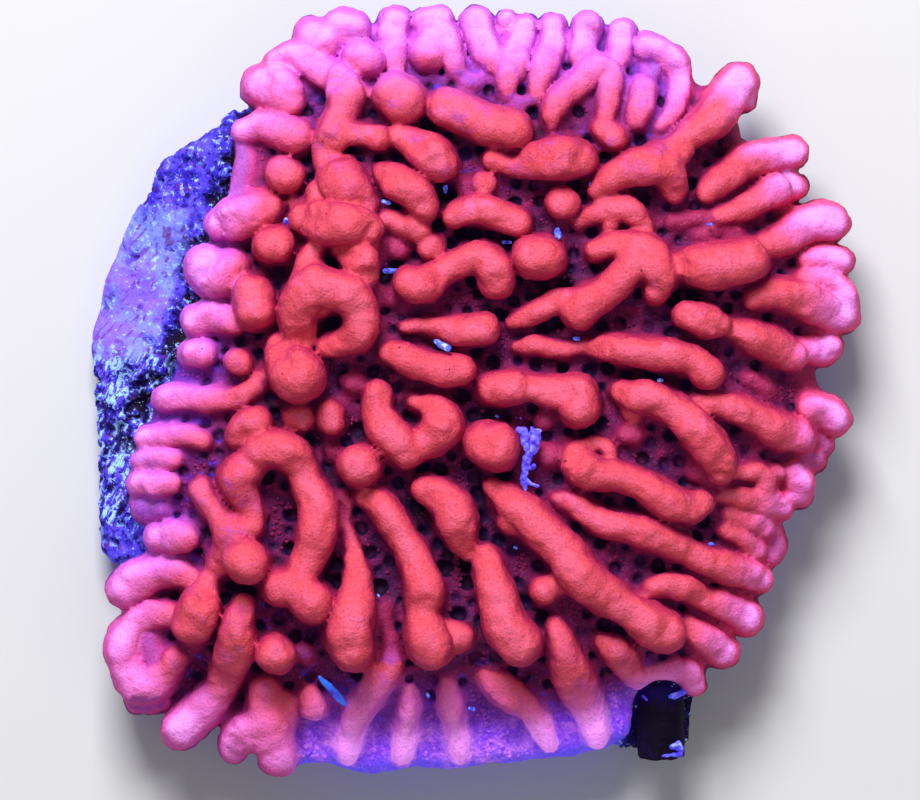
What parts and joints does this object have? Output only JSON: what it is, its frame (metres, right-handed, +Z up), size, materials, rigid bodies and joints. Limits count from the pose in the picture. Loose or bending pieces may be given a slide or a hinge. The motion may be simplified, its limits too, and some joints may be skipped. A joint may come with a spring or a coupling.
{
  "type": "montipora coral",
  "caption": "Small encrusting stony coral colony with rounded radiating ridges, grown over a loose piece of rock with a flat cut underside.",
  "frame": {"origin": "middle of the flat cut underside of the rock", "axes": "+Z up through the growth face, +Y towards the pink upper margin, -X towards the bare shoulder of rock"},
  "size_m": [0.0483, 0.0482, 0.0153],
  "materials": {
    "coral": "matte living coral tissue, orange-red on the ridge tops, magenta and purple in the valleys, pink-lilac at the margin",
    "rock": "rough porous reef rock, blue-violet with paler streaks",
    "tube": "dark, dull tube wall with pale blue chips at its ends"
  },
  "bodies": {
    "root": {"coral_colony": "coral", "base_rock": "rock", "worm_tube": "tube"}
  },
  "joints": []
}
